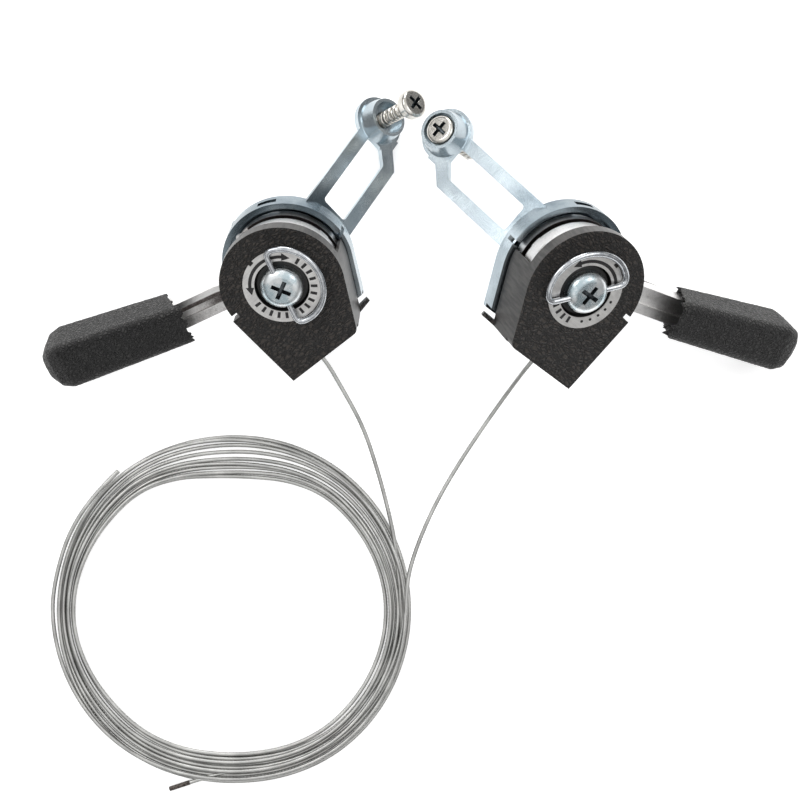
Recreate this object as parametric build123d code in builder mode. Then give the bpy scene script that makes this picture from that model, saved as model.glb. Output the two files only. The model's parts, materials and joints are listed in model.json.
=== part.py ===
from build123d import *
import math
import os

# A pair of friction thumb shifters, left and right, with their two inner cables wound in one coil.
# Each unit is drawn in its own frame: Z is the lever's pivot axis with the cover's face at z = 0,
# -Y is the way the cable leaves, and +X is the inner side, where the clamp strap starts.
# The right unit is the left one mirrored across its YZ plane. Sizes are in millimetres.

# ---- cover ----
face_radius = 19.0
cover_left = 19.8
cover_bottom = 26.0
shoulder_y = 0.8
face_thick = 1.8
skirt_depth = 4.0
wall = 1.3
wall_depth = 14.4
wall_from_y = -4.0
corner_round = 2.5
well_radius = 8.3
well_floor = 3.3
side_angle = -30

# ---- clamp bracket ----
sheet = 1.8
base_radius = 20.3
base_left = 17.5
base_bottom = 23.6
base_back = -21.0
base_front = base_back + sheet
cup_top = -15.0
flange_top = -15.3
bar_radius = 11.1
bar_axis_z = base_back - 0.3 - bar_radius
seat_half = 9.3
seat_depth = bar_radius - math.sqrt(bar_radius**2 - seat_half**2) + 0.3

# ---- clamp strap ----
strap_start = 17.2
strap_low = -6.9
strap_high = 10.8
strap_leg = 4.2
jog_start = 32.0
boss_along = 41.3
boss_across = 6.8
boss_height = 6.0
seat_floor = 3.2

# ---- pivot and friction stack ----
post_radius = 4.5
key_radius = 3.8
key_flat = 3.0
thread_radius = 2.5
fit_gap = 0.05
drum_radius = 17.0
flange_radius = 17.2
groove_z = -12.4
groove_half = 0.8
groove_floor = 10.8
wire_on_drum = 11.5
stop_y = -24.3

# ---- lever ----
rest_angle = 160.5
arm_half = 4.25
grip_start = 35.1
grip_end = 80.2
grip_mid_z = -3.2

# ---- screws, ring and cable ----
head_radius = 6.55
ring_wire = 0.95
ring_z = 1.55
ring_half_chord = 12.6
clamp_head_radius = 4.6
clamp_screw_length = 20.0
nut_half = 4.0
wire_radius = 0.6

# ---- how the two units lie: face centre, tilt from upright, way it tilts, turn about its axis ----
left_lie = dict(face=(-42.31, -15.84, 36.1), tilt=30.4, toward=-95.6, turn=44.8)
right_lie = dict(face=(47.09, -18.24, 47.86), tilt=36.0, toward=-56.0, turn=-41.1)

# ---- free cable routes, from the bracket's stop to the coil, then the coil itself ----
left_route = [(-24.6, -47.3, 12.5), (-18.6, -58.5, 8.8), (-14.4, -71.4, 6.2), (-11.2, -83.4, 3.7),
              (-9.0, -93.4, 2.1), (-8.2, -100.4, 1.6)]
right_route = [(27.3, -46.5, 16.5), (19.2, -58.3, 12.0), (11.4, -70.4, 8.6), (4.8, -81.9, 6.6),
               (-0.4, -93.4, 5.3), (-3.8, -103.4, 4.8), (-4.9, -110.4, 4.7)]
coil_centre = (-60.5, -117.7)
coil_outer = 57.6
coil_inner = 47.0
coil_layer = 3.1


def shield_face(radius, left, bottom, top):
    """Round head running into a box with one slanted side, added to the open sketch."""
    slant = math.radians(side_angle)
    corner_x = (radius + math.sin(slant) * bottom) / math.cos(slant)
    touch = (radius * math.cos(slant), radius * math.sin(slant))
    Circle(radius)
    Polygon((-left, top), (-left, -bottom), (corner_x, -bottom), touch, (0, top), align=None)


def ring_sector(outer, inner, start, end):
    """Part of a flat ring between two angles, added to the open sketch."""
    with BuildLine() as edge:
        CenterArc((0, 0), outer, start, end - start)
        CenterArc((0, 0), inner, start, end - start)
        for angle in (start, end):
            turn = math.radians(angle)
            along = Vector(math.cos(turn), math.sin(turn))
            Line(along * inner, along * outer)
    make_face(edge.edges())


def keyed_hole(gap, mode=Mode.SUBTRACT):
    """Double-D outline of the pivot post with a gap round it."""
    with BuildSketch(mode=Mode.PRIVATE) as hole:
        Circle(key_radius + gap)
        Rectangle(4 * key_radius, 2 * (key_flat + gap), mode=Mode.INTERSECT)
    add(hole.sketch, mode=mode)


boss_centre = (boss_along, boss_across)
lever_dir = (math.cos(math.radians(rest_angle)), math.sin(math.radians(rest_angle)), 0)
lever_side = Plane(origin=(0, 0, 0), x_dir=lever_dir, z_dir=(lever_dir[1], -lever_dir[0], 0))


def make_strap_plane(lean):
    """Middle plane of a strap bent back by this many degrees, X along the strap."""
    lean = math.radians(lean)
    return Plane(origin=(strap_start, 0, base_back + sheet / 2), x_dir=(math.cos(lean), 0, -math.sin(lean)),
                 z_dir=(math.sin(lean), 0, math.cos(lean)))


def make_bracket(strap):
    window_low = strap_low + strap_leg
    window_high = strap_high - strap_leg
    with BuildPart() as bracket:
        with BuildSketch(Plane.XY.offset(base_back)):
            shield_face(base_radius, base_left, base_bottom, shoulder_y)
        extrude(amount=sheet)
        # raised pad under the drum
        with BuildSketch(Plane.XY.offset(base_front)):
            Circle(9)
        extrude(amount=0.8)
        # cup wall round the upper half, with its narrow window
        with BuildSketch(Plane.XY.offset(base_back)):
            ring_sector(base_radius, base_radius - sheet, -6, 196)
        extrude(amount=cup_top - base_back)
        with BuildSketch(Plane.XY.offset(-19.0)):
            with PolarLocations(base_radius - sheet / 2, 1, start_angle=66):
                Rectangle(6, 6)
        extrude(amount=2.2, mode=Mode.SUBTRACT)
        # side flange behind the cover's slanted wall
        with BuildSketch(Plane.XY.offset(base_back)):
            shield_face(base_radius, base_left, base_bottom, shoulder_y)
            with BuildSketch(mode=Mode.PRIVATE) as inner:
                shield_face(base_radius - sheet, base_left, base_bottom + 5, shoulder_y)
            add(inner.sketch, mode=Mode.SUBTRACT)
            with Locations((15, -13)):
                Rectangle(20, 19, mode=Mode.INTERSECT)
        extrude(amount=flange_top - base_back)
        # bottom flange with the casing stop
        with BuildSketch(Plane.XY.offset(base_back)):
            with Locations((-6, -base_bottom + sheet / 2)):
                Rectangle(20, sheet)
        extrude(amount=12.5)
        with BuildSketch(Plane.XZ.offset(-stop_y)):
            with Locations((-wire_on_drum, groove_z)):
                Circle(3.6)
        extrude(amount=-4.8)
        with BuildSketch(Plane.XZ.offset(-stop_y)):
            with Locations((-wire_on_drum, groove_z)):
                Circle(2.6)
        extrude(amount=-3, mode=Mode.SUBTRACT)
        with BuildSketch(Plane.XZ.offset(-stop_y + 2)):
            with Locations((-wire_on_drum, groove_z)):
                Circle(0.95)
        extrude(amount=-9, mode=Mode.SUBTRACT)
        # two seats that stand on the handlebar
        for seat_y, seat_from, seat_to in ((-15.0, -seat_half, seat_half), (19.4, -6.5, 2.5)):
            with BuildSketch(Plane.XZ.offset(-seat_y)):
                with Locations(((seat_from + seat_to) / 2, base_back - seat_depth / 2 + 0.2)):
                    Rectangle(seat_to - seat_from, seat_depth + 0.4)
                with Locations((0, bar_axis_z)):
                    Circle(bar_radius, mode=Mode.SUBTRACT)
            extrude(amount=2)
        # strap: two legs, a window, an offset end disc
        with BuildSketch(strap.offset(-sheet / 2)):
            with BuildLine():
                Polyline(
                    (-1.2, strap_low), (jog_start, strap_low), (jog_start + 5.5, strap_low + 4.6),
                    (boss_along, strap_low + 4.6), (boss_along, strap_high), (-1.2, strap_high),
                    close=True,
                )
            make_face()
            with Locations(boss_centre):
                Circle(8.4)
            with BuildSketch(strap.offset(-sheet / 2), mode=Mode.PRIVATE) as window:
                with BuildLine():
                    Polyline(
                        (4.2, window_low), (jog_start - 1.6, window_low), (jog_start + 2.6, window_low + 4),
                        (jog_start + 2.6, window_high), (4.2, window_high), close=True,
                    )
                make_face()
                fillet(window.vertices(), 1.2)
            add(window.sketch_local, mode=Mode.SUBTRACT)
        extrude(amount=sheet)
        # drawn boss for the clamp screw's head
        with BuildSketch(strap.offset(0)):
            with Locations(boss_centre):
                Circle(7.5)
        extrude(amount=boss_height, taper=12)
        with BuildSketch(strap.offset(seat_floor)):
            with Locations(boss_centre):
                Circle(5.2)
        extrude(amount=boss_height, mode=Mode.SUBTRACT)
        with BuildSketch(strap.offset(-3)):
            with Locations(boss_centre):
                Circle(thread_radius + 0.3)
        extrude(amount=10, mode=Mode.SUBTRACT)
        with BuildSketch(strap.offset(-3)):
            with Locations(boss_centre):
                Rectangle(2 * nut_half + 0.3, 2 * nut_half + 0.3)
        extrude(amount=3.7, mode=Mode.SUBTRACT)
        # hole for the riveted pivot post
        with BuildSketch(Plane.XY.offset(base_back)):
            Circle(post_radius)
        extrude(amount=5, mode=Mode.SUBTRACT)
    return bracket.part


def make_post():
    with BuildPart() as post:
        with BuildSketch(Plane.XY.offset(base_back)):
            Circle(post_radius)
        extrude(amount=14.3)
        with BuildSketch(Plane.XY.offset(-6.7)):
            keyed_hole(0, Mode.ADD)
        extrude(amount=5.1)
        with BuildSketch(Plane.XY.offset(-17)):
            Circle(thread_radius)
        extrude(amount=16, mode=Mode.SUBTRACT)
    return post.part


def make_washer(outer, inner, back, front):
    with BuildPart() as washer:
        with BuildSketch(Plane.XY.offset(back)):
            Circle(outer)
            Circle(inner, mode=Mode.SUBTRACT)
        extrude(amount=front - back)
    return washer.part


def make_keyed_washer():
    with BuildPart() as washer:
        with BuildSketch(Plane.XY.offset(-6.5)):
            Circle(9.5)
            keyed_hole(0.1)
        extrude(amount=0.6)
    return washer.part


def make_spring_washer():
    with BuildPart() as spring:
        with BuildSketch(Plane.XZ):
            with BuildLine():
                Polyline((4.4, -5.25), (9.4, -5.8), (9.4, -5.35), (4.4, -4.8), close=True)
            make_face()
        revolve(axis=Axis.Z)
    return spring.part


def make_pressure_cap():
    with BuildPart() as cap:
        with BuildSketch(Plane.XY.offset(-3.1)):
            Circle(8)
        extrude(amount=2.1)
        fillet(cap.faces().sort_by(Axis.Z)[-1].edges(), 0.5)
        with BuildSketch(Plane.XY.offset(-4.7)):
            Circle(6)
        extrude(amount=1.6)
        with BuildSketch(Plane.XY.offset(-4.7)):
            keyed_hole(0.1, Mode.ADD)
        extrude(amount=5, mode=Mode.SUBTRACT)
    return cap.part


def arm_blade():
    """Cast blade of the lever, from the drum to the middle of the grip."""
    with BuildPart() as blade:
        with BuildSketch(lever_side):
            with BuildLine():
                Polyline(
                    (12, -14), (22, -14), (34, -10.6), (68, -6.6), (72, -5), (68, -2.6), (34, -3.4),
                    (22, -6.8), (12, -6.8), close=True,
                )
            make_face()
        extrude(amount=arm_half, both=True)
        # channel between the two ribs of the front edge
        with BuildSketch(lever_side):
            with BuildLine():
                Polyline((19.5, -5), (19.5, -8), (34, -4.7), (44, -4.4), (44, -1.5), close=True)
            make_face()
        extrude(amount=1.1, both=True, mode=Mode.SUBTRACT)
    return blade.part


def make_drum():
    with BuildPart() as drum:
        with BuildSketch(Plane.XY.offset(groove_z + groove_half)):
            Circle(drum_radius)
        extrude(amount=-4.4 - groove_z - groove_half)
        with BuildSketch(Plane.XY.offset(-16.6)):
            Circle(flange_radius)
        extrude(amount=groove_z + 16.6)
        with BuildSketch(Plane.XY.offset(-17.6)):
            Circle(11)
        extrude(amount=6)
        # stop lug standing on the rear flange
        with BuildSketch(Plane.XY.offset(-16.6)):
            ring_sector(flange_radius, 12, -1, 10)
        extrude(amount=9.6)
        add(arm_blade())
        # cable groove all round, cut through the root of the arm
        with BuildSketch(Plane.XY.offset(groove_z - groove_half)):
            Circle(drum_radius + 1.5)
            Circle(groove_floor, mode=Mode.SUBTRACT)
        extrude(amount=2 * groove_half, mode=Mode.SUBTRACT)
        # pocket for the cable's nipple
        with BuildSketch(Plane.XY.offset(groove_z - 2.5)):
            with PolarLocations(17.5, 1, start_angle=105):
                Rectangle(9.5, 8)
        extrude(amount=5, mode=Mode.SUBTRACT)
        # recess for the washers and bore for the bush
        with BuildSketch(Plane.XY.offset(-6.6)):
            Circle(9.9)
        extrude(amount=3, mode=Mode.SUBTRACT)
        with BuildSketch(Plane.XY.offset(-18)):
            Circle(5.5)
        extrude(amount=14, mode=Mode.SUBTRACT)
    return drum.part


def make_grip():
    # distance along the lever, width, depth and lean of each section
    sections = (
        (grip_start, 12.6, 19.6, 24),
        (74, 15.0, 19.6, 9),
        (77.6, 13.2, 17.4, 9),
        (grip_end, 8.6, 12.2, 9),
    )
    with BuildPart() as grip:
        for along, across, deep, lean in sections:
            centre = Vector(lever_dir[0] * along, lever_dir[1] * along, grip_mid_z)
            level = Vector(lever_dir[0], lever_dir[1], 0)
            facing = level * math.cos(math.radians(lean)) + Vector(0, 0, math.sin(math.radians(lean)))
            upright = Vector(0, 0, math.cos(math.radians(lean))) - level * math.sin(math.radians(lean))
            with BuildSketch(Plane(origin=centre, x_dir=upright, z_dir=facing)):
                RectangleRounded(deep, across, 3.2)
        loft(ruled=True)
        add(arm_blade(), mode=Mode.SUBTRACT)
    return grip.part


def make_cover():
    with BuildPart() as cover:
        with BuildSketch(Plane.XY.offset(-skirt_depth)):
            shield_face(face_radius, cover_left, cover_bottom, shoulder_y)
        extrude(amount=skirt_depth)
        fillet(cover.edges().filter_by(Axis.Z).sort_by(Axis.X)[-3:].sort_by(Axis.Y)[0], corner_round)
        with BuildSketch(Plane.XY.offset(-skirt_depth)):
            shield_face(face_radius - wall, cover_left - wall, cover_bottom - wall, shoulder_y - wall)
        extrude(amount=skirt_depth - face_thick, mode=Mode.SUBTRACT)
        # deep wall on the slanted, bottom and left sides
        with BuildSketch(Plane.XY.offset(-wall_depth)):
            shield_face(face_radius, cover_left, cover_bottom, shoulder_y)
            with BuildSketch(mode=Mode.PRIVATE) as inside:
                shield_face(face_radius - wall, cover_left - wall, cover_bottom - wall, shoulder_y)
            add(inside.sketch, mode=Mode.SUBTRACT)
            with Locations((0, wall_from_y - 15)):
                Rectangle(60, 30, mode=Mode.INTERSECT)
        extrude(amount=wall_depth - skirt_depth)
        # step in the outline where the lever rests
        with BuildSketch(Plane.XY.offset(-wall_depth)):
            with Locations((-19.2, 1.6)):
                Rectangle(4.6, 1.6)
        extrude(amount=wall_depth, mode=Mode.SUBTRACT)
        # cable notch in the bottom wall
        with BuildSketch(Plane.XZ.offset(cover_bottom + 1)):
            with Locations((-wire_on_drum, groove_z - 1)):
                Rectangle(8, 9)
        extrude(amount=-3.2, mode=Mode.SUBTRACT)
        # spur at the rear end of the bottom wall
        with BuildSketch(Plane.XZ.offset(cover_bottom - wall)):
            with BuildLine():
                Polyline((0, -13), (6.5, -13), (10.6, -16.6), (10.2, -18), (0, -14.4), close=True)
            make_face()
        extrude(amount=wall)
        # well for the pressure cap
        with BuildSketch(Plane.XY.offset(-skirt_depth)):
            Circle(well_radius + 1)
        extrude(amount=skirt_depth)
        with BuildSketch(Plane.XY.offset(-well_floor)):
            Circle(well_radius)
        extrude(amount=well_floor, mode=Mode.SUBTRACT)
        with BuildSketch(Plane.XY.offset(-skirt_depth)):
            Circle(6.3)
        extrude(amount=skirt_depth, mode=Mode.SUBTRACT)
    return cover.part


def make_dial():
    with BuildPart() as dial:
        with BuildSketch():
            Circle(11.9)
            Circle(well_radius + 0.05, mode=Mode.SUBTRACT)
            with PolarLocations(11.9, 1, start_angle=100):
                Rectangle(1.6, 1.6, mode=Mode.SUBTRACT)
        extrude(amount=0.25)
    return dial.part


def make_tension_screw(ring_angle):
    across = Plane(origin=(0, 0, ring_z), x_dir=(0, 0, 1),
                   z_dir=(math.cos(math.radians(ring_angle)), math.sin(math.radians(ring_angle)), 0))
    with BuildPart() as screw:
        with BuildSketch(Plane.XY.offset(-0.9)):
            Circle(head_radius)
        extrude(amount=4.1)
        fillet(screw.faces().sort_by(Axis.Z)[-1].edges(), 2.6)
        with BuildSketch(Plane.XY.offset(-14)):
            Circle(thread_radius - fit_gap)
        extrude(amount=13.2)
        # cross recess, slightly tapered
        with BuildSketch(Plane.XY.offset(3.2)):
            with Locations(Rotation(0, 0, ring_angle + 45)):
                Rectangle(6.2, 1.3)
                Rectangle(1.3, 6.2)
        extrude(amount=-1.9, taper=8, mode=Mode.SUBTRACT)
        # one blind hole each side for the ring's ends
        for start in (3.0, -8.0):
            with BuildSketch(across.offset(start)):
                Circle(ring_wire + 0.1)
            extrude(amount=5, mode=Mode.SUBTRACT)
    return screw.part


def make_d_ring(ring_angle):
    turn = math.radians(ring_angle)
    plane = Plane(origin=(0, 0, ring_z), x_dir=(math.cos(turn), math.sin(turn), 0), z_dir=(0, 0, 1))
    half = ring_half_chord
    with BuildPart() as ring:
        with BuildLine(plane) as path:
            FilletPolyline(
                (3.4, 0), (half, 0), (half * 0.97, -5), (0.52 * half, -half), (-0.52 * half, -half),
                (-half * 0.97, -5), (-half, 0), (-3.4, 0), radius=(1.6, 3.2, 6.2, 6.2, 3.2, 1.6),
            )
        with BuildSketch(Plane(origin=path.wire() @ 0, z_dir=path.wire() % 0)):
            Circle(ring_wire)
        sweep()
    return ring.part


def make_clamp_screw(strap, back_out):
    under = seat_floor + 0.1 + back_out
    with BuildPart() as screw:
        with BuildSketch(strap.offset(under)):
            with Locations(boss_centre):
                Circle(clamp_head_radius)
        extrude(amount=3.1)
        fillet(screw.edges().sort_by(Axis((0, 0, 0), tuple(strap.z_dir)))[-1], 1.2)
        with BuildSketch(strap.offset(under - clamp_screw_length)):
            with Locations(boss_centre):
                Circle(thread_radius - fit_gap)
        extrude(amount=clamp_screw_length)
        with BuildSketch(strap.offset(under + 3.1)):
            with Locations(boss_centre):
                Rectangle(5.2, 1.2)
                Rectangle(1.2, 5.2)
        extrude(amount=-2, taper=8, mode=Mode.SUBTRACT)
    return screw.part


def make_clamp_nut(strap):
    with BuildPart() as nut:
        with BuildSketch(strap.offset(-2.6)):
            with Locations(boss_centre):
                Rectangle(2 * nut_half, 2 * nut_half)
                Circle(thread_radius, mode=Mode.SUBTRACT)
        extrude(amount=3.2)
    return nut.part


def nipple_place(radius, angle):
    """Where a nipple held at this radius sits, and where its wire touches the groove's circle."""
    touch_angle = math.radians(angle) + math.acos(wire_on_drum / radius)
    seat = Vector(radius * math.cos(math.radians(angle)), radius * math.sin(math.radians(angle)), groove_z)
    touch = Vector(wire_on_drum * math.cos(touch_angle), wire_on_drum * math.sin(touch_angle), groove_z)
    return seat, touch, math.degrees(touch_angle)


def make_nipple(radius, angle):
    seat, touch, _ = nipple_place(radius, angle)
    along = (seat - touch).normalized()
    with BuildPart() as nipple:
        with BuildSketch(Plane(origin=seat - along * 2, z_dir=along)):
            Circle(2.2)
        extrude(amount=4.2)
        chamfer(nipple.edges(), 0.4)
    return nipple.part


def make_wrap(radius, angle):
    seat, touch, touch_angle = nipple_place(radius, angle)
    along = (seat - touch).normalized()
    with BuildPart() as wrap:
        with BuildLine() as path:
            Line(seat - along * 2, touch)
            CenterArc((0, 0, groove_z), wire_on_drum, touch_angle, 178 - touch_angle)
        with BuildSketch(Plane(origin=path.wire() @ 0, z_dir=path.wire() % 0)):
            Circle(wire_radius)
        sweep()
    return wrap.part


def build_unit(strap_lean, ring_angle, back_out, nipple_radius, nipple_angle):
    """Every piece of one shifter, in the unit's own frame."""
    strap = make_strap_plane(strap_lean)
    return dict(
        clamp_bracket=make_bracket(strap),
        pivot_post=make_post(),
        rear_friction_washer=make_washer(11, post_radius + 0.1, -18.3, -17.7),
        pivot_bush=make_washer(5.5, post_radius + fit_gap, -17.6, -6.8),
        lever_drum=make_drum(),
        front_friction_washer=make_keyed_washer(),
        spring_washer=make_spring_washer(),
        pressure_cap=make_pressure_cap(),
        cover=make_cover(),
        dial_plate=make_dial(),
        tension_screw=make_tension_screw(ring_angle),
        d_ring=make_d_ring(ring_angle),
        grip=make_grip(),
        clamp_screw=make_clamp_screw(strap, back_out),
        clamp_nut=make_clamp_nut(strap),
        cable_nipple=make_nipple(nipple_radius, nipple_angle),
        cable_wrap=make_wrap(nipple_radius, nipple_angle),
    )


def unit_plane(lie):
    """Plane of a unit's face from the way the unit lies."""
    tilt = math.radians(lie["tilt"])
    toward = math.radians(lie["toward"])
    normal = Vector(math.sin(tilt) * math.cos(toward), math.sin(tilt) * math.sin(toward), math.cos(tilt))
    heading = Vector(math.cos(math.radians(lie["turn"])), math.sin(math.radians(lie["turn"])), 0)
    return Plane(origin=lie["face"], x_dir=heading - normal * heading.dot(normal), z_dir=normal)


def bend_radii(points):
    """Largest even radius at each corner of a route: 0.45 of the shorter run over tan of half the turn."""
    radii = []
    for before, corner, after in zip(points, points[1:], points[2:]):
        run_in = Vector(*corner) - Vector(*before)
        run_out = Vector(*after) - Vector(*corner)
        half_turn = math.radians(run_in.get_angle(run_out)) / 2
        radii.append(0.45 * min(run_in.length, run_out.length) / math.tan(half_turn))
    return radii


def make_lead(side, points):
    radii = bend_radii(points)
    with BuildPart() as lead:
        with BuildLine() as path:
            FilletPolyline(*points, radius=radii)
        with BuildSketch(Plane(origin=path.wire() @ 0, z_dir=path.wire() % 0)):
            Circle(wire_radius)
        sweep()
    length = path.wire().length
    print(side, "cable bend radii", [round(radius, 1) for radius in radii])
    print(side, "cable length", round(length, 1), "volume over section times length",
          round(lead.part.volume / (math.pi * wire_radius**2 * length), 4))
    return lead.part


def make_coil(low):
    with BuildPart() as coil:
        with BuildSketch(Plane.XY.offset(low)):
            with Locations(coil_centre):
                Circle(coil_outer)
                Circle(coil_inner, mode=Mode.SUBTRACT)
        extrude(amount=coil_layer - 0.1)
        fillet(coil.edges().filter_by(GeomType.CIRCLE), 0.9)
    return coil.part


def make_wire_end(place, heading):
    with BuildPart() as end:
        with BuildSketch(Plane(origin=place, z_dir=heading)):
            Circle(wire_radius + 0.15)
        extrude(amount=7)
        fillet(end.edges(), 0.3)
    return end.part


os.makedirs("parts", exist_ok=True)
pieces = {}
left_unit = build_unit(strap_lean=56.5, ring_angle=70.5, back_out=13.6, nipple_radius=15.4, nipple_angle=104)
right_unit = build_unit(strap_lean=62, ring_angle=132.5, back_out=0, nipple_radius=17.0, nipple_angle=106.7)
left_plane = unit_plane(left_lie)
right_plane = unit_plane(right_lie)
for name, piece in left_unit.items():
    pieces["left_" + name] = left_plane.location * piece
for name, piece in right_unit.items():
    pieces["right_" + name] = right_plane.location * mirror(piece, about=Plane.YZ)

for side, plane, mirrored, route, low in (
    ("left", left_plane, 1, left_route, 0.05), ("right", right_plane, -1, right_route, coil_layer + 0.1),
):
    inside = [plane.from_local_coords((-wire_on_drum * mirrored, y, groove_z)) for y in (0, -27)]
    pieces[side + "_cable_lead"] = make_lead(side, [tuple(point) for point in inside] + route)
    pieces[side + "_cable_coil"] = make_coil(low)
    print(side, "route starts at", [tuple(round(value, 2) for value in tuple(point)) for point in inside])

pieces["left_cable_end"] = make_wire_end((-74.6, -173.0, 0.9), (-0.95, -0.31, 0))
pieces["right_cable_end"] = make_wire_end((-101.9, -77.5, 4.7), (0.7, 0.71, 0))

for name, piece in pieces.items():
    piece.label = name
    export_step(piece, f"parts/{name}.step")
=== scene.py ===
import json
import math

import bmesh
import bpy
import numpy as np
from mathutils import Matrix, Vector, noise


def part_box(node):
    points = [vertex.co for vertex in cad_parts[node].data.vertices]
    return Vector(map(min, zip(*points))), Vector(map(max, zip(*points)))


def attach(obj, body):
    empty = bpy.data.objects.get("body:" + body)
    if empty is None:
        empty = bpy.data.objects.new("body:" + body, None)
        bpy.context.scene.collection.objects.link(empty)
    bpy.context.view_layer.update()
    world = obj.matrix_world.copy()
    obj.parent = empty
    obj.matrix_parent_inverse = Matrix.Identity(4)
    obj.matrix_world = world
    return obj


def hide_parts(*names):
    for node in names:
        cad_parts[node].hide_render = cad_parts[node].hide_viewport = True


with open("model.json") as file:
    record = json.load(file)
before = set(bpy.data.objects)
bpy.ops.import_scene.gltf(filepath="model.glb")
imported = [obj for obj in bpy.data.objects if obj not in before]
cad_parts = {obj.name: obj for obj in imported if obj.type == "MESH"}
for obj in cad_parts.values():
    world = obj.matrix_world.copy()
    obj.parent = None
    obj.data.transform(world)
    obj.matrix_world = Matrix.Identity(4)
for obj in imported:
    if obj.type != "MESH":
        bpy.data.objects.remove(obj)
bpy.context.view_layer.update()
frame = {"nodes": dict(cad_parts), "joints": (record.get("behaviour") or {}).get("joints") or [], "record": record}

millimetre = 0.001
joints = {joint["name"]: joint for joint in frame["joints"]}
mounts = {mount["name"]: mount for mount in frame["record"]["mounts"]}
bodyOf = {node: body for body, nodes in frame["record"]["behaviour"]["bodies"].items() for node in nodes}
rootBody = bodyOf["left_clamp_bracket"]
sides = ("left", "right")


def unitMatrix(side):
    # x towards the strap, y away from the cable, z out of the face, origin at the middle of the face
    out = Vector(joints[side + "_tension_turn"]["axis"]).normalized()
    up = Vector(mounts[side + "_bar_seat"]["axis"]).normalized()
    up = up if up.y > 0 else -up
    across = up.cross(out) * (1 if side == "left" else -1)
    origin = Vector(joints[side + "_tension_turn"]["pos_m"]) - out * millimetre
    turn = Matrix((across, up, out)).transposed()
    return Matrix.Translation(origin) @ turn.to_4x4() @ Matrix.Scale(millimetre, 4)


unit = {side: unitMatrix(side) for side in sides}

camera = dict(above=0.5, along=(-0.007011, -0.049935), lens=69.75)


def makeCamera():
    data = bpy.data.cameras.new("camera")
    data.lens = camera["lens"]
    data.sensor_width = 36
    data.clip_start = 0.01
    eye = bpy.data.objects.new("camera", data)
    eye.location = (*camera["along"], camera["above"])
    bpy.context.scene.collection.objects.link(eye)
    bpy.context.scene.camera = eye


makeCamera()
print("camera is set")

grip = dict(
    restAngle=160.5, middle=-3.2, around=96, rings=86,
    corner=3.2, wall=1.8, mouth=7.0, flash=1.2, grain=0.1)

class Shade:
    # one output socket, so that a pattern is written as a sum or product
    def __init__(self, tree, socket):
        self.tree, self.socket = tree, socket

    def make(self, kind, settings=None, inputs=None, output=0):
        node = self.tree.nodes.new(kind)
        for name, value in (settings or {}).items():
            if name == "stops":
                for extra in value[2:]:
                    node.color_ramp.elements.new(extra[0])
                for stop, (place, colour) in zip(node.color_ramp.elements, value):
                    stop.position = place
                    stop.color = colour if isinstance(colour, tuple) else (colour, colour, colour, 1)
            else:
                setattr(node, name, value)
        for name, value in (inputs or {}).items():
            if isinstance(value, Shade):
                self.tree.links.new(value.socket, node.inputs[name])
            else:
                node.inputs[name].default_value = value
        return Shade(self.tree, node.outputs[output])

    def math(self, operation, *others):
        return self.make("ShaderNodeMath", dict(operation=operation), dict(enumerate((self, *others))))

    def __add__(self, other):
        return self.math("ADD", other)

    def __mul__(self, other):
        return self.math("MULTIPLY", other)

    def __sub__(self, other):
        return self.math("SUBTRACT", other)

    def __rsub__(self, other):
        return (self * -1) + other

    __radd__ = __add__
    __rmul__ = __mul__

    def between(self, low, high):
        return self.make("ShaderNodeMapRange", dict(interpolation_type="SMOOTHSTEP"),
                         {"Value": self, "From Min": low, "From Max": high})

    def noise(self, scale, detail=3.0, rough=0.55):
        return self.make("ShaderNodeTexNoise", None,
                         {"Vector": self, "Scale": scale, "Detail": detail, "Roughness": rough})

    def cells(self, scale, feature="F1"):
        return self.make("ShaderNodeTexVoronoi", dict(feature=feature), {"Vector": self, "Scale": scale})

    def part(self, axis):
        return self.make("ShaderNodeSeparateXYZ", None, {"Vector": self}, output="XYZ".index(axis))

    def blend(self, low, high):
        return self.make("ShaderNodeMix", dict(data_type="RGBA"),
                         {0: self, 6: (*low, 1), 7: (*high, 1)}, output=2)

    def bump(self, depth, strength=1.0):
        return self.make("ShaderNodeBump", None, {"Height": self, "Distance": depth, "Strength": strength})


def newFinish(name, metallic, side="left"):
    # a material with its main shader, and coordinates in millimetres of one unit
    finish = bpy.data.materials.new(name)
    finish.use_nodes = True
    tree = finish.node_tree
    shader = tree.nodes["Principled BSDF"]
    shader.inputs["Metallic"].default_value = metallic
    start = Shade(tree, tree.nodes.new("ShaderNodeTexCoord").outputs["Object"])
    axes = unit[side].to_3x3() * 1000
    if axes.determinant() < 0:
        axes = axes @ Matrix.Diagonal((-1, 1, 1))
    place = start.make("ShaderNodeMapping", dict(vector_type="TEXTURE"), {
        "Vector": start, "Location": unit[side].translation, "Rotation": axes.to_euler(),
        "Scale": (millimetre,) * 3})
    return finish, shader, place


def connect(shader, **sockets):
    names = dict(colour="Base Color", rough="Roughness", normal="Normal", metal="Metallic")
    for name, value in sockets.items():
        value.tree.links.new(value.socket, shader.inputs[names[name]])

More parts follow.
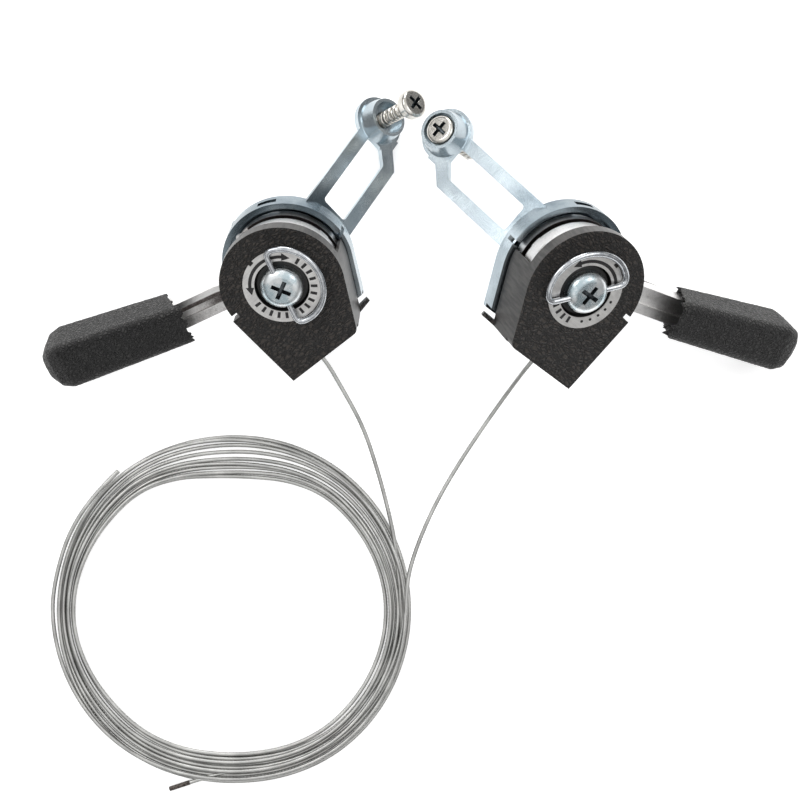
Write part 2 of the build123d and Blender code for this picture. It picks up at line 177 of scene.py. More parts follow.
def zincPlate(side):
    finish, shader, place = newFinish(side + "ZincPlate", 1.0, side)
    cloud = place.noise(0.09, 4)
    pull = place.make("ShaderNodeMapping", None, {"Vector": place, "Scale": (0.3, 3, 3)}).noise(1.6, 3)
    grit = place.noise(3.2, 3, 0.7)
    flat = place.make("ShaderNodeVectorMath", dict(operation="MULTIPLY"), {0: place, 1: (1, 1, 0)})
    radius = flat.make("ShaderNodeVectorMath", dict(operation="LENGTH"), {0: flat}, output=1)
    # painted shade and dark reflection: the cup is coloured darker than the strap, except on its side towards the
    # cable
    cupShade = (1 - radius.between(21, 27)) * place.part("Y").between(-4, 3)
    tone = cloud.between(0.35, 0.7) * 0.3 + 0.7 - cupShade * 0.55
    connect(shader,
            colour=tone.blend((0.08, 0.12, 0.15), (0.58, 0.65, 0.69)),
            rough=0.15 + cloud * 0.12 + grit * 0.08,
            normal=(pull * 0.6 + grit * 0.5).bump(0.00004, 0.5))
    return finish


def shadedCupZinc(side):
    # painted shade and dark reflection: the inner wall of the cup in a darker blue-grey
    finish, shader, place = newFinish(side + "SlateZinc", 1.0, side)
    cloud = place.noise(0.3, 4)
    connect(shader,
            colour=cloud.between(0.3, 0.7).blend((0.10, 0.14, 0.17), (0.30, 0.37, 0.42)),
            rough=0.22 + cloud * 0.16,
            normal=place.noise(2.2, 3).bump(0.00003, 0.5))
    return finish


def paintedRecessShade(side):
    # painted shade: a dark finish for the faces inside the screw heads' recesses
    finish, shader, place = newFinish(side + "DarkRecess", 1.0, side)
    grit = place.noise(2.5, 3)
    connect(shader,
            colour=grit.between(0.3, 0.7).blend((0.05, 0.06, 0.07), (0.18, 0.20, 0.21)),
            rough=0.3 + grit * 0.2,
            normal=grit.bump(0.00004, 0.5))
    return finish


def nickelPlate(side):
    finish, shader, place = newFinish(side + "NickelPlate", 1.0, side)
    cloud = place.noise(0.25, 3)
    grit = place.noise(2.6, 3, 0.6)
    connect(shader,
            colour=cloud.between(0.3, 0.7).blend((0.52, 0.50, 0.46), (0.76, 0.74, 0.70)),
            rough=0.12 + grit * 0.16,
            normal=grit.bump(0.00003, 0.5))
    return finish


def domedZinc(side):
    # spun rings round the pivot over a patchy chromate film
    finish, shader, place = newFinish(side + "DomedZinc", 1.0, side)
    ring = place.make("ShaderNodeVectorMath", dict(operation="MULTIPLY"), {0: place, 1: (1, 1, 0)})
    radius = ring.make("ShaderNodeVectorMath", dict(operation="LENGTH"), {0: ring}, output=1)
    lathe = (radius * 24).math("SINE")
    cloud = place.noise(0.22, 4)
    connect(shader,
            colour=cloud.between(0.38, 0.62).blend((0.50, 0.60, 0.64), (0.86, 0.89, 0.90)),
            rough=0.2 + cloud * 0.14,
            normal=(lathe * 0.25 + place.noise(2, 3) * 0.5).bump(0.00003, 0.5))
    return finish


def castAluminium(side):
    finish, shader, place = newFinish(side + "CastAluminium", 1.0, side)
    pits = place.noise(2.4, 5, 0.65)
    cloud = place.noise(0.35, 3)
    across, level = place.part("X"), place.part("Z")
    turn = math.radians(grip["restAngle"])
    reach = across * math.cos(turn) + place.part("Y") * math.sin(turn)
    aside = place.part("Y") * math.cos(turn) - across * math.sin(turn)
    # painted shade: the groove is coloured darker
    shadedGroove = level.between(-13.6, -13.2) * (1 - level.between(-11.6, -11.2)) * (1 - reach.between(18, 20))
    # painted shade: the channel along the front of the arm, between two bright ribs, and the lower side beside it
    # are coloured darker
    front = (level + (34 - reach) * 0.283).between(-4.6, -3.9) * reach.between(19, 20)
    shadedChannel = aside.between(-2.6, -2.2) * (1 - aside.between(0.9, 1.3)) * front
    shadedLowerSide = aside.between(1.0, 1.6) * front
    tone = cloud * 0.35 + pits * 0.65 - shadedGroove * 0.7 - shadedChannel * 0.62 - shadedLowerSide * 0.2
    connect(shader,
            colour=tone.between(-0.2, 0.62).blend((0.10, 0.085, 0.08), (0.86, 0.85, 0.84)),
            rough=0.24 + pits * 0.2 + shadedChannel * 0.2,
            normal=(pits + place.noise(0.8, 4) * 0.8 + shadedChannel * pits * 2).bump(0.00014, 0.6))
    return finish


def leatherGrain(name, side, stretch, dark, light, shadow=0.0):
    # moulded leather grain: raised pebbles parted by wandering creases
    finish, shader, place = newFinish(side + name, 0.0, side)
    drift = place.make("ShaderNodeTexNoise", None, {"Vector": place, "Scale": 0.5}, output=1)
    bent = place.make("ShaderNodeVectorMath", dict(operation="ADD"), {0: place, 1: drift.make(
        "ShaderNodeVectorMath", dict(operation="SCALE"), {0: drift, "Scale": 2.2})})
    flat = bent.make("ShaderNodeMapping", None, {"Vector": bent, "Scale": stretch})
    crease = flat.cells(0.8, "DISTANCE_TO_EDGE")
    pebble = crease.between(0.0, 0.3)
    fine = place.noise(2.6, 3, 0.6)
    broad = place.noise(0.25, 2)
    # painted shade: the front facet is coloured darker than the sides
    shadedFacet = place.part("Z").between(4.2, 6.0) * shadow
    # painted shade: the creases between the pebbles are coloured darker than the pebble tops; the fine and broad
    # noise vary the tone at random
    tone = pebble * 0.55 + fine * 0.3 + broad * 0.3 - shadedFacet
    connect(shader,
            colour=tone.between(0.2, 0.95).blend(dark, light),
            rough=0.56 - pebble * 0.14 + fine * 0.1,
            normal=(pebble * 0.9 + fine * 0.3).bump(0.0006, 1.0))
    return finish


def grainedBlack(side):
    return leatherGrain("GrainedBlack", side, (0.5, 1.45, 0.9), (0.001, 0.001, 0.001), (0.034, 0.027, 0.022))


def gripBlack(side):
    # 0.4 is the strength of the painted shade on the front facet
    return leatherGrain("GripBlack", side, (1.0, 1.25, 1.1),
                        (0.002, 0.002, 0.002), (0.044, 0.042, 0.040), 0.4)


def plainBlack(side):
    finish, shader, place = newFinish(side + "PlainBlack", 0.0, side)
    streak = place.make("ShaderNodeMapping", None, {"Vector": place, "Scale": (2, 2, 0.35)}).noise(0.5, 4)
    fine = place.noise(4, 3)
    connect(shader,
            colour=streak.between(0.3, 0.7).blend((0.020, 0.019, 0.018), (0.062, 0.058, 0.055)),
            rough=0.30 + fine * 0.14,
            normal=(fine * 0.5 + streak * 0.5).bump(0.00004, 0.5))
    return finish


def blackNylon(side):
    finish, shader, place = newFinish(side + "BlackNylon", 0.0, side)
    fine = place.noise(3, 4)
    connect(shader,
            colour=fine.between(0.3, 0.7).blend((0.006, 0.006, 0.006), (0.020, 0.019, 0.018)),
            rough=0.42 + fine * 0.2,
            normal=fine.bump(0.00004, 0.5))
    return finish


def dialMetal(side):
    finish, shader, place = newFinish(side + "DialMetal", 1.0, side)
    brushed = place.make("ShaderNodeMapping", None, {"Vector": place, "Scale": (0.25, 6, 1)}).noise(1.5, 4)
    cloud = place.noise(0.3, 2)
    connect(shader,
            colour=(brushed * 0.5 + cloud * 0.5).between(0.3, 0.7).blend(
                (0.62, 0.61, 0.60), (0.86, 0.85, 0.83)),
            rough=0.34 + brushed * 0.14,
            normal=brushed.bump(0.00002, 0.4))
    return finish


def printedInk(side):
    finish, shader, place = newFinish(side + "PrintedInk", 0.0, side)
    speck = place.noise(6, 3)
    connect(shader,
            colour=speck.between(0.3, 0.7).blend((0.006, 0.006, 0.007), (0.022, 0.020, 0.020)),
            rough=0.45 + speck * 0.15,
            normal=speck.bump(0.00001, 0.3))
    return finish


def brightWire(side):
    finish, shader, place = newFinish(side + "BrightWire", 1.0, side)
    cloud = place.noise(0.6, 3)
    connect(shader,
            colour=cloud.between(0.3, 0.7).blend((0.42, 0.44, 0.47), (0.66, 0.68, 0.70)),
            rough=0.16 + cloud * 0.1,
            normal=place.noise(2.2, 3).bump(0.00003, 0.4))
    return finish


def cableSteel(side):
    finish, shader, place = newFinish(side + "CableSteel", 1.0, side)
    cloud = place.noise(0.12, 3)
    fine = place.noise(3, 3, 0.7)
    connect(shader,
            colour=(cloud * 0.6 + fine * 0.4).between(0.3, 0.7).blend(
                (0.38, 0.38, 0.37), (0.64, 0.64, 0.62)),
            rough=0.33 + fine * 0.16,
            normal=fine.bump(0.00002, 0.4))
    return finish


def roughZinc(side):
    # cast nipple, grainy and sparkling
    finish, shader, place = newFinish(side + "RoughZinc", 1.0, side)
    facets = place.cells(2.4)
    connect(shader,
            colour=facets.between(0.1, 0.8).blend((0.72, 0.71, 0.70), (0.45, 0.44, 0.43)),
            rough=0.24 + facets * 0.2,
            normal=(facets + place.noise(3, 4) * 0.7).bump(0.0003, 0.8))
    return finish


def darkSolder(side):
    finish, shader, place = newFinish(side + "DarkSolder", 1.0, side)
    lump = place.noise(1.4, 3)
    connect(shader,
            colour=lump.between(0.3, 0.7).blend((0.05, 0.045, 0.04), (0.15, 0.13, 0.12)),
            rough=0.4 + lump * 0.2,
            normal=lump.bump(0.0002, 0.6))
    return finish


finishMakers = dict(
    zinc=zincPlate, slate=shadedCupZinc, recess=paintedRecessShade, sleeve=gripBlack,
    nickel=nickelPlate, dome=domedZinc, cast=castAluminium, grain=grainedBlack,
    plain=plainBlack, nylon=blackNylon, dial=dialMetal, ink=printedInk,
    wire=brightWire, cable=cableSteel, rough=roughZinc, solder=darkSolder)
finishes = {side: {name: maker(side) for name, maker in finishMakers.items()} for side in sides}
print("finishes are mixed")

def addObject(name, mesh):
    piece = bpy.data.objects.new(name, mesh)
    bpy.context.scene.collection.objects.link(piece)
    return piece


def paint(piece, *materials):
    piece.data.materials.clear()
    for material in materials:
        piece.data.materials.append(material)


def flatten(piece):
    # keep what the modifiers made and drop the modifiers
    bpy.context.view_layer.update()
    made = bpy.data.meshes.new_from_object(piece.evaluated_get(bpy.context.evaluated_depsgraph_get()))
    piece.modifiers.clear()
    piece.data = made
    made.name = piece.name
    return piece


def smoothShade(piece, degrees):
    piece.data.shade_smooth()
    piece.data.set_sharp_from_angle(angle=math.radians(degrees))


def rideWith(piece, node, stands=True):
    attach(piece, bodyOf[node])
    if stands:
        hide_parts(node)


def softened(node, name, width, segments=2, degrees=32, trim=None):
    # a copy of a hard-edged node with its edges rounded over
    shape = bmesh.new()
    shape.from_mesh(frame["nodes"][node].data)
    bmesh.ops.remove_doubles(shape, verts=shape.verts, dist=1e-6)
    if trim:
        trim(shape)
    bmesh.ops.dissolve_limit(shape, angle_limit=math.radians(0.4), verts=shape.verts, edges=shape.edges)
    mesh = bpy.data.meshes.new(name)
    shape.to_mesh(mesh)
    shape.free()
    piece = addObject(name, mesh)
    bevel = piece.modifiers.new("edges", "BEVEL")
    bevel.width = width * millimetre
    bevel.segments = segments
    bevel.limit_method = "ANGLE"
    bevel.angle_limit = math.radians(degrees)
    bevel.miter_outer = "MITER_ARC"
    mesh.shade_smooth()
    # flat faces stay flat and only the rounded edges carry the turn
    weights = piece.modifiers.new("normals", "WEIGHTED_NORMAL")
    weights.mode = "FACE_AREA"
    weights.weight = 50
    flatten(piece)
    rideWith(piece, node)
    return piece

cable = dict(
    radius=0.68, lay=9.0, strands=8, spacing=0.8, valley=0.84, perTurn=24,
    stackReach=1.35, thickness=1.2, lift=0.05, tail=14, roundness=0.96)
routes = dict(
    left=[(-50.32, -15.94, 21.2), (-32.5, -33.89, 11.75),
          (-24.6, -47.3, 12.5), (-18.6, -58.5, 8.8), (-14.4, -71.4, 6.2), (-11.2, -83.4, 3.7),
          (-9.0, -93.4, 2.1), (-8.2, -100.4, 1.6)],
    right=[(50.94, -17.52, 31.41), (33.49, -37.52, 26.45),
           (27.3, -46.5, 16.5), (19.2, -58.3, 12.0), (11.4, -70.4, 8.6), (4.8, -81.9, 6.6),
           (-0.4, -93.4, 5.3), (-3.8, -103.4, 4.8), (-4.9, -110.4, 4.7)])
winding = dict(
    left=dict(turns=4, rate=0.148, phase=4.88, end=(-75.3, -173.25, 0.9), heading=(-0.95, -0.31, 0)),
    right=dict(turns=5, rate=0.134, phase=2.947, end=(-101.3, -76.9, 4.7), heading=(0.7, 0.71, 0)))
# middle and half width of the bundle, every 45 degrees from +X round
bundle = [
    (53.2, 3.8), (52.4, 4.8), (49.9, 7.4), (53.5, 4.5),
    (54.2, 2.7), (52.8, 4.4), (50.8, 4.6), (52.6, 4.2)]
coilLow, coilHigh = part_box("left_cable_coil")
coilCentre = (coilLow + coilHigh) / 2 / millimetre


def bundleAt(angle):
    place = (math.degrees(angle) % 360) / 45
    first = int(place) % 8
    share = place - int(place)
    ease = share * share * (3 - 2 * share)
    return [a + (b - a) * ease for a, b in zip(bundle[first], bundle[(first + 1) % 8])]


def radiusOf(side, startAngle, angle):
    turned = startAngle - angle
    middle, half = bundleAt(angle)
    swing = math.sin(winding[side]["rate"] * turned + winding[side]["phase"])
    # an even zigzag with rounded corners, so that the turns fill the bundle
    return middle + half * math.asin(cable["roundness"] * swing) / math.asin(cable["roundness"])


def layTurns(side, laid):
    last = Vector(routes[side][-1]) - coilCentre
    startAngle = math.atan2(last.y, last.x)
    end = Vector(winding[side]["end"])
    heading = Vector(winding[side]["heading"]).normalized()
    tail = end - heading * cable["tail"]
    off = tail - coilCentre
    sweep = (startAngle - math.atan2(off.y, off.x)) % (2 * math.pi) + 2 * math.pi * winding[side]["turns"]
    step = 2 * math.pi / cable["perTurn"]
    own = dict(side=side, start=startAngle, angles=[], heights=[])
    laid.append(own)
    turn = 1
    while turn * step < sweep - step * 0.6:
        angle = startAngle - turn * step
        radius = radiusOf(side, startAngle, angle)
        height = cable["radius"] + cable["lift"]
        for other in laid:
            for lap in range(-7, 8):
                at = angle + lap * 2 * math.pi
                if not other["angles"] or not other["angles"][-1] <= at <= other["angles"][0]:
                    continue
                if other is own and at < angle + math.pi:
                    continue
                apart = abs(radius - radiusOf(other["side"], other["start"], at)) / cable["stackReach"]
                if apart < 1:
                    under = np.interp(-at, -np.array(other["angles"]), other["heights"])
                    height = max(height, under + cable["thickness"] * math.sqrt(1 - apart * apart))
        own["angles"].append(angle)
        own["heights"].append(height)
        turn += 1
    heights = np.array(own["heights"])
    eased = np.convolve(np.pad(heights, 1, "edge"), (0.25, 0.5, 0.25), "valid")
    own["heights"] = list(np.maximum(eased, cable["radius"] + cable["lift"]))
    points = []
    for angle, height in zip(own["angles"], own["heights"]):
        radius = radiusOf(side, startAngle, angle)
        entry = min(1.0, (startAngle - angle) / (math.pi / 2))
        leave = min(1.0, (sweep - (startAngle - angle)) / (math.pi / 2))
        radius = last.to_2d().length * (1 - entry) + radius * entry
        radius = off.to_2d().length * (1 - leave) + radius * leave
        points.append((coilCentre.x + radius * math.cos(angle),
                       coilCentre.y + radius * math.sin(angle), height))
    points += [tuple(tail), tuple(end)]
    return points


def strandedTree():
    tree = bpy.data.node_groups.new("strandedCable", "GeometryNodeTree")
    face = tree.interface
    face.new_socket("Geometry", in_out="INPUT", socket_type="NodeSocketGeometry")
    for name in ("Radius", "Lay", "Spacing"):
        face.new_socket(name, in_out="INPUT", socket_type="NodeSocketFloat")
    face.new_socket("Strands", in_out="INPUT", socket_type="NodeSocketInt")
    face.new_socket("Finish", in_out="INPUT", socket_type="NodeSocketMaterial")
    face.new_socket("Geometry", in_out="OUTPUT", socket_type="NodeSocketGeometry")
    add = tree.nodes.new
    link = tree.links.new
    given = add("NodeGroupInput").outputs
    line = add("GeometryNodeMeshToCurve")
    link(given["Geometry"], line.inputs[0])
    even = add("GeometryNodeResampleCurve")
    even.mode = "LENGTH"
    link(line.outputs[0], even.inputs["Curve"])
    link(given["Spacing"], even.inputs["Length"])
    along = add("GeometryNodeSplineParameter")
    turns = add("ShaderNodeMath")
    turns.operation = "DIVIDE"
    link(along.outputs["Length"], turns.inputs[0])
    link(given["Lay"], turns.inputs[1])
    tilt = add("ShaderNodeMath")
    tilt.operation = "MULTIPLY"
    tilt.inputs[1].default_value = 2 * math.pi
    link(turns.outputs[0], tilt.inputs[0])
    twisted = add("GeometryNodeSetCurveTilt")
    link(even.outputs[0], twisted.inputs["Curve"])
    link(tilt.outputs[0], twisted.inputs["Tilt"])
    valley = add("ShaderNodeMath")
    valley.operation = "MULTIPLY"
    valley.inputs[1].default_value = cable["valley"]
    link(given["Radius"], valley.inputs[0])
    star = add("GeometryNodeCurveStar")
    link(given["Strands"], star.inputs["Points"])
    link(valley.outputs[0], star.inputs["Inner Radius"])
    link(given["Radius"], star.inputs["Outer Radius"])
    star.inputs["Twist"].default_value = 0
    tube = add("GeometryNodeCurveToMesh")
    link(twisted.outputs[0], tube.inputs["Curve"])
    link(star.outputs[0], tube.inputs["Profile Curve"])
    tube.inputs["Fill Caps"].default_value = True
    smooth = add("GeometryNodeSetShadeSmooth")
    link(tube.outputs[0], smooth.inputs[0])
    real = add("GeometryNodeRealizeInstances")
    link(smooth.outputs[0], real.inputs[0])
    finish = add("GeometryNodeSetMaterial")
    link(real.outputs[0], finish.inputs["Geometry"])
    link(given["Finish"], finish.inputs["Material"])
    link(finish.outputs[0], add("NodeGroupOutput").inputs[0])
    return tree


def grow(piece, tree, values):
    # run a node tree on a piece with its named inputs, and keep the mesh
    modifier = piece.modifiers.new("grow", "NODES")
    modifier.node_group = tree
    names = {item.name: item.identifier for item in tree.interface.items_tree if item.in_out == "INPUT"}
    for name, value in values.items():
        modifier[names[name]] = value
    return flatten(piece)


stranded = strandedTree()


def makeCable(side, laid):
    points = [Vector(point) * millimetre for point in routes[side] + layTurns(side, laid)]
    curve = bpy.data.curves.new(side + "_cable_line", "CURVE")
    curve.dimensions = "3D"
    curve.resolution_u = 8
    spline = curve.splines.new("NURBS")
    spline.points.add(len(points) - 1)
    for control, point in zip(spline.points, points):
        control.co = (*point, 1)
    spline.order_u = 3
    spline.use_endpoint_u = True
    guide = addObject(side + "_cable_line", curve)
    bpy.context.view_layer.update()
    lineMesh = bpy.data.meshes.new_from_object(guide.evaluated_get(bpy.context.evaluated_depsgraph_get()))
    bpy.data.objects.remove(guide)
    piece = addObject(side + "_cable", lineMesh)
    grow(piece, stranded, dict(Radius=cable["radius"] * millimetre, Lay=cable["lay"] * millimetre,
                               Spacing=cable["spacing"] * millimetre, Strands=cable["strands"],
                               Finish=finishes[side]["cable"]))
    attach(piece, rootBody)
    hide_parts(side + "_cable_lead", side + "_cable_coil")


laidTurns = []
for side in sides:
    makeCable(side, laidTurns)
print("cables are wound")

table = dict(half=6.0, colour=(0.86, 0.86, 0.86), glow=0.5)


def makeTable():
    half = table["half"]
    shape = bmesh.new()
    bmesh.ops.create_grid(shape, x_segments=1, y_segments=1, size=half)
    mesh = bpy.data.meshes.new("table")
    shape.to_mesh(mesh)
    shape.free()
    top = addObject("table", mesh)
    finish = bpy.data.materials.new("paleTable")
    finish.use_nodes = True
    inputs = finish.node_tree.nodes["Principled BSDF"].inputs
    inputs["Base Color"].default_value = (*table["colour"], 1)
    inputs["Roughness"].default_value = 0.8
    inputs["Specular IOR Level"].default_value = 0.2
    inputs["Emission Color"].default_value = (1, 1, 1, 1)
    inputs["Emission Strength"].default_value = table["glow"]
    paint(top, finish)


def makeLight():
    scene = bpy.context.scene
    scene.view_settings.view_transform = "Standard"
    world = bpy.data.worlds.new("studio")
    scene.world = world
    world.use_nodes = True
    tree = world.node_tree
    sky = Shade(tree, tree.nodes.new("ShaderNodeTexCoord").outputs["Generated"])
    height = sky.part("Z")
    glow = height.make("ShaderNodeValToRGB", dict(stops=[
        (0.0, 0.16), (0.22, 0.22), (0.45, 0.45), (0.7, 0.95), (1.0, 1.0)]), {"Fac": height})
    tree.links.new(glow.socket, tree.nodes["Background"].inputs["Color"])
    tree.nodes["Background"].inputs["Strength"].default_value = 1.0
    for name, place, size, power in (
        ("softboxLeft", (-0.55, 0.35, 0.75), 0.5, 2.0),
        ("softboxRight", (0.6, 0.1, 0.8), 0.4, 0.9),
        ("softboxBack", (0.0, 0.85, 0.4), 0.5, 3.0),
    ):
        data = bpy.data.lights.new(name, "AREA")
        data.shape = "DISK"
        data.size = size
        data.energy = power
        lamp = bpy.data.objects.new(name, data)
        lamp.location = place
        lamp.rotation_euler = (-Vector(place)).to_track_quat("-Z", "Y").to_euler()
        scene.collection.objects.link(lamp)


makeTable()
makeLight()
print("table and light are set")

# node: finish, edge rounding in mm
rounded = dict(
    clamp_bracket=("zinc", 0.28), lever_drum=("cast", 0.3), tension_screw=("dome", 0.22),
    cable_nipple=("rough", 0.2), clamp_nut=("zinc", 0.3), pressure_cap=("nylon", 0.2))
asCast = dict(
    pivot_post="nickel", rear_friction_washer="nylon", pivot_bush="nylon", front_friction_washer="nickel",
    spring_washer="nickel", dial_plate="dial", cable_wrap="cable", cable_end="solder")


def paintWhere(piece, side, first, second, test):
    # the second finish goes on the faces that pass the test, in millimetres of the unit
    paint(piece, finishes[side][first], finishes[side][second])
    toUnit = unit[side].inverted()
    turn = toUnit.to_3x3() * millimetre
    for face in piece.data.polygons:
        face.material_index = int(test(toUnit @ face.center, turn @ face.normal))


# faces of the cup's inner wall, which get the painted shade
def insideCup(place, normal):
    flat = place.to_2d()
    return place.z < -12 and 14 < flat.length < 26 and normal.to_2d().dot(flat.normalized()) < -0.35


# faces in the recess of the domed tension screw, which get painted shade
def inRecess(place, normal):
    return place.z > 0 and place.to_2d().length < 3.5 and (place.z < 3.0 or normal.z < 0.7)


for side in sides:
    for part, (finish, width) in rounded.items():
        piece = softened(f"{side}_{part}", f"{side}_{part}_finished", width)
        if part == "clamp_bracket":
            # painted shade on the inner wall of the cup
            paintWhere(piece, side, "zinc", "slate", insideCup)
        elif part == "tension_screw":
            # painted shade in the tension screw's recess
            paintWhere(piece, side, "dome", "recess", inRecess)
        else:
            paint(piece, finishes[side][finish])
    for part, finish in asCast.items():
        paint(frame["nodes"][f"{side}_{part}"], finishes[side][finish])
paint(frame["nodes"]["right_cable_end"], finishes["right"]["cable"])
print("hard parts are finished")

cover = dict(edge=0.45, faceTilt=0.75, wellRadius=8.6, floorDepth=-0.6)


def makeCover(side):
    piece = softened(side + "_cover", side + "_cover_shell", cover["edge"], 3)
    paint(piece, finishes[side]["grain"], finishes[side]["plain"], finishes[side]["nylon"])
    toUnit = unit[side].inverted()
    out = unit[side].to_3x3().col[2].normalized()
    for face in piece.data.polygons:
        place = toUnit @ face.center
        sunk = place.z < cover["floorDepth"] and place.to_2d().length < cover["wellRadius"]
        if sunk:
            face.material_index = 2
        elif face.normal.dot(out) < cover["faceTilt"] and place.z < -0.5:
            face.material_index = 1


for side in sides:
    makeCover(side)
print("covers are grained")

# distance along, width, depth and lean of each section, as the sleeve's sides run
gripSections = [(35.1, 12.6, 19.6, 24), (74, 15.0, 19.6, 9), (77.6, 13.2, 17.4, 9), (80.2, 8.6, 12.2, 9)]


def boxPoint(share, halfDepth, halfWidth, corner):
    # a point going once round a rectangle with rounded corners
    straight = [2 * (halfDepth - corner), 2 * (halfWidth - corner)]
    bend = corner * math.pi / 2
    left = (share % 1) * (2 * sum(straight) + 4 * bend)
    for quarter in range(4):
        side = straight[quarter % 2]
        turn = quarter * math.pi / 2
        along = Vector((-math.sin(turn), math.cos(turn)))
        out = Vector((math.cos(turn), math.sin(turn)))
        face = halfWidth if quarter % 2 == 0 else halfDepth
        if left < side:
            spot = out * face + along * (left - side / 2)
            break
        left -= side
        if left < bend:
            angle = left / corner
            spot = out * (face - corner + corner * math.cos(angle))
            spot = spot + along * (side / 2 + corner * math.sin(angle))
            break
        left -= bend
    return spot.y, spot.x


def makeGrip(side):
    angle = math.radians(grip["restAngle"])
    along = Vector((math.cos(angle), math.sin(angle), 0))
    across = Vector((-math.sin(angle), math.cos(angle), 0))
    out = Vector((0, 0, 1))
    stations = [section[0] for section in gripSections]
    shape = bmesh.new()

    def ring(distance, inset=0.0, ragged=0.0, grain=grip["grain"]):
        width, depth, lean = [float(np.interp(distance, stations, [section[k] for section in gripSections]))
                              for k in (1, 2, 3)]
        slope = math.radians(lean)
        made = []
        for k in range(grip["around"]):
            share = k / grip["around"]
            corner = min(grip["corner"], width / 2 - 0.6)
            z, y = boxPoint(share, depth / 2 - inset, width / 2 - inset, max(0.6, corner - inset))
            tear = max(0.0, noise.noise(Vector((share * 31, 3.7 if side == "left" else 9.1, 0))) - 0.05)
            spot = along * (distance - z * math.sin(slope) - tear * 3 * grip["flash"] * ragged)
            spot += across * y + out * (z * math.cos(slope) + grip["middle"])
            rough = noise.noise(spot * 0.9) + 0.6 * noise.noise(spot * 2.1)
            spot += (across * y + out * z).normalized() * rough * grain
            made.append(shape.verts.new(unit[side] @ spot))
        return made

    first, last = stations[0], stations[-1]
    rings = [ring(first + grip["mouth"], grip["wall"], grain=0),
             ring(first + 1.5, grip["wall"] - 0.3, grain=0),
             ring(first, 0.5, 0.7), ring(first, 0.1, 1.0), ring(first + 0.5)]
    rings += [ring(first + 0.6 + (last - first - 0.6) * (k / grip["rings"]) ** 0.93)
              for k in range(1, grip["rings"] + 1)]
    rings.append(ring(last + 0.35, 1.5))
    for low, high in zip(rings, rings[1:]):
        for k in range(grip["around"]):
            after = (k + 1) % grip["around"]
            shape.faces.new((low[k], high[k], high[after], low[after]))
    shape.faces.new(rings[0])
    shape.faces.new(list(reversed(rings[-1])))
    bmesh.ops.recalc_face_normals(shape, faces=shape.faces)
    mesh = bpy.data.meshes.new(side + "_grip_sleeve")
    shape.to_mesh(mesh)
    shape.free()
    piece = addObject(side + "_grip_sleeve", mesh)
    smoothShade(piece, 50)
    paint(piece, finishes[side]["sleeve"])
    rideWith(piece, side + "_grip")


for side in sides:
    makeGrip(side)
print("grips are moulded")

wireRing = dict(
    radius=0.95, height=1.55, half=12.4, deep=10.8, neck=1.8, foot=3.4,
    angle=dict(left=70.5, right=132.5))


def makeRing(side):
    half, deep, neck = wireRing["half"], wireRing["deep"], wireRing["neck"]
    arc = [(half * math.cos(t), -neck - deep * math.sin(t)) for t in np.linspace(0, math.pi, 41)]
    bend = [(half - 1.9, -0.02), (half - 1.0, -0.25), (half - 0.3, -0.85)]
    line = [(wireRing["foot"], 0), (half - 3, 0), *bend, *arc, *[(-x, y) for x, y in reversed(bend)],
            (3 - half, 0), (-wireRing["foot"], 0)]
    turn = math.radians(wireRing["angle"][side])
    curve = bpy.data.curves.new(side + "_ring_line", "CURVE")
    curve.dimensions = "3D"
    curve.bevel_depth = wireRing["radius"] * millimetre
    curve.bevel_resolution = 6
    curve.use_fill_caps = True
    spline = curve.splines.new("POLY")
    spline.points.add(len(line) - 1)
    for control, (x, y) in zip(spline.points, line):
        spot = Vector((x * math.cos(turn) - y * math.sin(turn), x * math.sin(turn) + y * math.cos(turn),
                       wireRing["height"]))
        control.co = (*(unit[side] @ spot), 1)
    guide = addObject(side + "_ring_line", curve)
    bpy.context.view_layer.update()
    mesh = bpy.data.meshes.new_from_object(guide.evaluated_get(bpy.context.evaluated_depsgraph_get()))
    bpy.data.objects.remove(guide)
    piece = addObject(side + "_wire_ring", mesh)
    smoothShade(piece, 40)
    paint(piece, finishes[side]["wire"])
    rideWith(piece, side + "_d_ring")


for side in sides:
    makeRing(side)
print("rings are bent")

thread = dict(pitch=0.8, core=2.08, crest=2.2)
screwHead = dict(height=3.1, rounding=0.22, recess=3.0)


